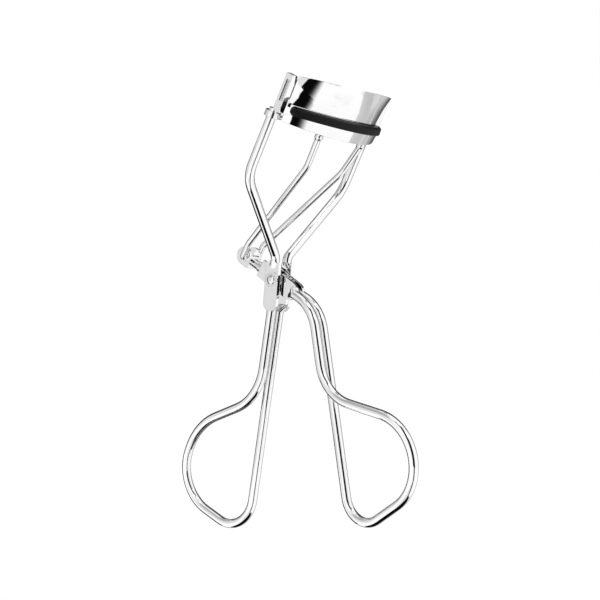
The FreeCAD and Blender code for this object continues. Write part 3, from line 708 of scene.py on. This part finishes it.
def build_slots(slot):
    """For each blade: a near black strip of painted shade in the gap beside the tab, and the hatched
    end of the tab.
    """
    painted_shade = painted_shade_material(slot.painted_shade_colour)
    hatch = plated_metal("tab_hatch_steel", slot.tab_colour, HATCH_ROUGHNESS)
    for side, word in ((-1, "left"), (1, "right")):
        # The near black strip in the gap is painted shade that stands for the shadow in the slot.
        low = np.array([slot.face - slot.recess - slot.depth, slot.tab_back, slot.foot])
        high = np.array([slot.face - slot.recess, slot.gap_back, slot.top])
        points, faces = rounded_block(low, high)
        if side < 0:
            points[:, 0] *= -1.0
            faces = faces[:, ::-1]
        gap = mesh_piece(f"slot_painted_shade_{word}", points, faces, painted_shade)
        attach(gap, "frame")
        points, faces = hatched_cap(
            (slot.face, slot.tab_front, slot.foot),
            (slot.face + slot.proud, slot.tab_back, slot.top),
            side,
            slot.ridge,
            slot.ridges,
        )
        cap = mesh_piece(f"tab_hatch_{word}", points, faces, hatch)
        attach(cap, "frame")


# ---------------------------------------------------------------- studio


def camera_pose(studio):
    """Direction back to the camera, by azimuth and elevation, and the camera's turn, which faces
    against it and is rolled on the line of sight."""
    level = math.cos(studio.elevation)
    back = Vector(
        (
            math.sin(studio.azimuth) * level,
            -math.cos(studio.azimuth) * level,
            math.sin(studio.elevation),
        )
    )
    roll = Quaternion((0.0, 0.0, 1.0), studio.roll)
    return back, (-back).to_track_quat("-Z", "Y") @ roll


def make_camera(studio):
    """Camera at its distance from the aim."""
    back, turn = camera_pose(studio)
    data = bpy.data.cameras.new("camera")
    data.sensor_width = SENSOR_WIDTH
    data.lens = studio.lens
    data.clip_start = CLIP_NEAR
    data.clip_end = CLIP_FAR
    camera = bpy.data.objects.new("camera", data)
    camera.location = Vector(studio.aim) + back * studio.distance
    camera.rotation_mode = "QUATERNION"
    camera.rotation_quaternion = turn
    bpy.context.scene.collection.objects.link(camera)
    bpy.context.scene.camera = camera


def floor_material(colour):
    """Pale matt floor with a very faint mottle; where the camera or a polished surface looks at it,
    a little of its own light brings its unshadowed parts up to white."""
    material, tree, shader = new_material("floor_paper")
    shader.inputs["Roughness"].default_value = 0.9
    shader.inputs["Specular IOR Level"].default_value = 0.1
    place = tree.nodes.new("ShaderNodeTexCoord").outputs["Object"]
    mottle = noise(tree, place, MOTTLE_SCALE, 3.0)
    tone = toned(tree, mottle, tuple(colour), dulled(colour, 0.02))
    tree.links.new(tone, shader.inputs["Base Color"])
    path = tree.nodes.new("ShaderNodeLightPath")
    seen = arithmetic(tree, "MAXIMUM", path.outputs["Is Camera Ray"], path.outputs["Is Glossy Ray"])
    shader.inputs["Emission Color"].default_value = (1.0, 1.0, 1.0, 1.0)
    glow = arithmetic(tree, "MULTIPLY", seen, FLOOR_GLOW)
    tree.links.new(glow, shader.inputs["Emission Strength"])
    return material


def make_floor(studio, lines=5):
    """A wide level sheet under the object: a square grid in X and Y at one height."""
    low = CAD_BOX[0][2] - studio.floor_drop
    side = np.linspace(-FLOOR_REACH, FLOOR_REACH, lines)
    x, y = np.meshgrid(side, side)
    points = np.stack([x.ravel(), y.ravel(), np.full(x.size, low)], axis=-1)
    faces = grid_faces(lines, lines, wrap=False)
    floor = mesh_piece("floor", points, faces, floor_material(studio.floor_colour))


def reflection_material(name):
    """A material with no shader yet, its tree and the first coordinate of the surface's UV, by
    which a card is graded."""
    material, tree, shader = new_material(name)
    tree.nodes.remove(shader)
    place = tree.nodes.new("ShaderNodeUVMap")
    place.uv_map = "surface"
    split = tree.nodes.new("ShaderNodeSeparateXYZ")
    tree.links.new(place.outputs["UV"], split.inputs["Vector"])
    return material, tree, split.outputs["X"]


def card_material(name, fade_left, fade_right, level):
    """A card of one grey whose upright edges fade out over a share of its width: the left one as a
    smooth step, the right one as one less the square of a smooth step."""
    material, tree, across = reflection_material(name)
    out = tree.nodes["Material Output"]
    rise = spread(tree, across, 0.0, fade_left, 0.0, 1.0)
    opened = spread(tree, across, 1.0 - fade_right, 1.0, 0.0, 1.0)
    fall = arithmetic(tree, "SUBTRACT", 1.0, arithmetic(tree, "POWER", opened, 2.0))
    grey = tree.nodes.new("ShaderNodeEmission")
    grey.inputs["Color"].default_value = (level, level, level, 1.0)
    clear = tree.nodes.new("ShaderNodeBsdfTransparent")
    blend = tree.nodes.new("ShaderNodeMixShader")
    tree.links.new(arithmetic(tree, "MULTIPLY", rise, fall), blend.inputs["Fac"])
    tree.links.new(clear.outputs["BSDF"], blend.inputs[1])
    tree.links.new(grey.outputs["Emission"], blend.inputs[2])
    tree.links.new(blend.outputs["Shader"], out.inputs["Surface"])
    return material


def ring_material():
    """The ring behind the object: its grey follows the turn round the line of sight."""
    material, tree, turned = reflection_material("card_ring")
    ramp = tree.nodes.new("ShaderNodeValToRGB")
    elements = ramp.color_ramp.elements
    while len(elements) < len(RING_LEVELS):
        elements.new(0.5)
    for element, (turn, level) in zip(elements, RING_LEVELS):
        element.position = turn / 360.0
        element.color = (level, level, level, 1.0)
    tree.links.new(turned, ramp.inputs["Fac"])
    glow = tree.nodes.new("ShaderNodeEmission")
    tree.links.new(ramp.outputs["Color"], glow.inputs["Color"])
    tree.links.new(glow.outputs["Emission"], tree.nodes["Material Output"].inputs["Surface"])
    return material


def seen_by_polish_only(card):
    """Hides a stage card from every ray but a reflected one."""
    card.visible_camera = False
    card.visible_diffuse = False
    card.visible_shadow = False
    card.visible_transmission = False


def make_ring(studio, rows=5, columns=97):
    """A zone of a sphere behind the object, its pole on the line of sight: out from the pole is
    the angle off that line, round it is the turn from the right."""
    turn_to_camera = np.array(camera_pose(studio)[1].to_matrix())
    turn, off = np.meshgrid(
        np.linspace(0.0, 2.0 * np.pi, columns),
        np.linspace(studio.ring_inner, studio.ring_outer, rows),
    )
    across = np.sin(off) * np.cos(turn)
    up = np.sin(off) * np.sin(turn)
    away = -np.cos(off)
    points = studio.ring_radius * np.stack([across.ravel(), up.ravel(), away.ravel()], axis=-1)
    uv = np.stack([turn.ravel() / (2.0 * np.pi), off.ravel()], axis=-1)
    faces = grid_faces(rows, columns, wrap=False)
    seen_by_polish_only(
        mesh_piece("card_ring", points @ turn_to_camera.T, faces, ring_material(), uv)
    )


def make_disc(studio, rows=5, columns=49):
    """A black disc below the object, square to the camera's upright axis: out from its middle is
    the radius, round it is the turn. Its rim fades out."""
    turn_to_camera = np.array(camera_pose(studio)[1].to_matrix())
    turn, out = np.meshgrid(
        np.linspace(0.0, 2.0 * np.pi, columns), np.linspace(DISC_EYE, studio.disc_radius, rows)
    )
    drop = np.full(turn.size, -studio.disc_drop)
    points = np.stack([(out * np.sin(turn)).ravel(), drop, (out * np.cos(turn)).ravel()], axis=-1)
    uv = np.stack([(out / studio.disc_radius).ravel(), turn.ravel()], axis=-1)
    material = card_material("card_disc", 0.02, 0.20, DISC_GREY)
    faces = grid_faces(rows, columns, wrap=False)
    seen_by_polish_only(mesh_piece("card_disc", points @ turn_to_camera.T, faces, material, uv))


def make_cards(studio, rows=3, columns=25):
    """Each card is a strip of a cylinder about the camera's upright axis: across is its bearing,
    up is its height. Only polished surfaces see the cards."""
    turn_to_camera = np.array(camera_pose(studio)[1].to_matrix())
    share = np.linspace(0.0, 1.0, columns)
    u, v = np.meshgrid(share, np.linspace(0.0, 1.0, rows))
    uv = np.stack([u.ravel(), v.ravel()], axis=-1)
    faces = grid_faces(rows, columns, wrap=False)
    for name, left, right, foot, top, fade_left, fade_right, level in CARDS:
        bearing, height = np.meshgrid(
            np.radians(left + (right - left) * share), np.linspace(foot, top, rows)
        )
        across = studio.card_radius * np.sin(bearing)
        back = studio.card_radius * np.cos(bearing)
        points = np.stack([across.ravel(), height.ravel(), back.ravel()], axis=-1)
        material = card_material(f"card_{name}", fade_left, fade_right, level)
        card = mesh_piece(f"card_{name}", points @ turn_to_camera.T, faces, material, uv)
        seen_by_polish_only(card)


def make_lights(studio):
    """An even white surround and one large soft lamp, high on the left, turned to the origin."""
    world = bpy.data.worlds.new("white_surround")
    world.use_nodes = True
    surround = world.node_tree.nodes["Background"]
    surround.inputs["Color"].default_value = (1.0, 1.0, 1.0, 1.0)
    surround.inputs["Strength"].default_value = 1.0
    bpy.context.scene.world = world
    data = bpy.data.lights.new("key_lamp", "AREA")
    data.shape = "RECTANGLE"
    data.size = LAMP_SIDE
    data.size_y = LAMP_SIDE
    data.energy = studio.key_power
    lamp = bpy.data.objects.new("key_lamp", data)
    lamp.location = LAMP_PLACE
    lamp.rotation_mode = "QUATERNION"
    lamp.rotation_quaternion = (-Vector(LAMP_PLACE)).to_track_quat("-Z", "Y")
    bpy.context.scene.collection.objects.link(lamp)


# ---------------------------------------------------------------- operators


class CURLER_OT_plate_wires(bpy.types.Operator):
    """Plate the frame, the lever and the push rod"""

    bl_idname = "curler.plate_wires"
    bl_label = "Plate wires"

    def execute(self, context):
        plating = context.scene.curler_plating
        wire = plated_metal("wire_chrome", plating.wire_colour, plating.polish)
        rod = plated_metal("push_rod_chrome", plating.wire_colour, plating.polish)
        finish_nodes(WIRE_NODES, wire)
        finish_nodes(ROD_NODES, rod)
        return {"FINISHED"}


class CURLER_OT_plate_jaws(bpy.types.Operator):
    """Plate the upper jaw plate, the lower jaw bar and the clevis"""

    bl_idname = "curler.plate_jaws"
    bl_label = "Plate jaws"

    def execute(self, context):
        plating = context.scene.curler_plating
        sheet = plated_metal("jaw_sheet_chrome", plating.jaw_colour, plating.polish)
        finish_nodes(JAW_NODES, sheet)
        polished_copy("upper_jaw_plate", "frame", sheet)
        polished_copy("lower_jaw_bar", "jaw", sheet)
        return {"FINISHED"}


class CURLER_OT_finish_rivets(bpy.types.Operator):
    """Polish the rivet, post, collars and bushes, and give the washers a duller steel"""

    bl_idname = "curler.finish_rivets"
    bl_label = "Finish rivets and washers"

    def execute(self, context):
        plating = context.scene.curler_plating
        rivet = plated_metal(
            "rivet_polished", plating.steel_colour, plating.polish + RIVET_MATTING
        )
        washer = plated_metal(
            "washer_satin", plating.washer_colour, plating.polish + WASHER_MATTING
        )
        finish_nodes(RIVET_NODES, rivet)
        finish_nodes(WASHER_NODES, washer)
        return {"FINISHED"}


class CURLER_OT_mould_pad(bpy.types.Operator):
    """Mould the silicone pad in the lower jaw"""

    bl_idname = "curler.mould_pad"
    bl_label = "Mould silicone pad"

    def execute(self, context):
        piece = build_pad(context.scene.curler_pad)
        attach(piece, "jaw")
        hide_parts("silicone_pad")
        return {"FINISHED"}


class CURLER_OT_fill_slots(bpy.types.Operator):
    """Hatch the ends of the tabs and put a strip of painted shade into each blade slot"""

    bl_idname = "curler.fill_slots"
    bl_label = "Fill blade slots"

    def execute(self, context):
        build_slots(context.scene.curler_slots)
        return {"FINISHED"}


class CURLER_OT_set_stage(bpy.types.Operator):
    """Place the camera, floor, reflection cards and lamp"""

    bl_idname = "curler.set_stage"
    bl_label = "Set stage"

    def execute(self, context):
        studio = context.scene.curler_studio
        make_camera(studio)
        make_floor(studio)
        make_cards(studio)
        make_ring(studio)
        make_disc(studio)
        make_lights(studio)
        context.scene.view_settings.view_transform = "Standard"
        return {"FINISHED"}


class CURLER_PT_workshop(bpy.types.Panel):
    """Sidebar panel that lists the curler's steps and settings"""

    bl_idname = "CURLER_PT_workshop"
    bl_label = "Eyelash Curler Workshop"
    bl_space_type = "VIEW_3D"
    bl_region_type = "UI"
    bl_category = "Curler"

    def draw(self, context):
        layout = self.layout
        for operator in OPERATORS:
            layout.operator(operator.bl_idname)
        for setting, _ in SETTINGS:
            holder = getattr(context.scene, setting)
            box = layout.box()
            for name in holder.bl_rna.properties.keys():
                if name not in ("rna_type", "name"):
                    box.prop(holder, name)


OPERATORS = (
    CURLER_OT_plate_wires,
    CURLER_OT_plate_jaws,
    CURLER_OT_finish_rivets,
    CURLER_OT_mould_pad,
    CURLER_OT_fill_slots,
    CURLER_OT_set_stage,
)
SETTINGS = (
    ("curler_pad", PadSettings),
    ("curler_slots", SlotSettings),
    ("curler_plating", PlatingSettings),
    ("curler_studio", StudioSettings),
)


def register():
    """Adds the settings to the scene and the steps and panel to the interface."""
    for name, group in SETTINGS:
        bpy.utils.register_class(group)
        setattr(bpy.types.Scene, name, bpy.props.PointerProperty(type=group))
    for operator in OPERATORS:
        bpy.utils.register_class(operator)
    bpy.utils.register_class(CURLER_PT_workshop)


def unregister():
    """Takes out what register put in, last first."""
    bpy.utils.unregister_class(CURLER_PT_workshop)
    for operator in reversed(OPERATORS):
        bpy.utils.unregister_class(operator)
    for name, group in reversed(SETTINGS):
        delattr(bpy.types.Scene, name)
        bpy.utils.unregister_class(group)


def main():
    register()
    bpy.ops.curler.plate_wires()
    bpy.ops.curler.plate_jaws()
    bpy.ops.curler.finish_rivets()
    bpy.ops.curler.mould_pad()
    bpy.ops.curler.fill_slots()
    bpy.ops.curler.set_stage()


if __name__ == "__main__":
    main()
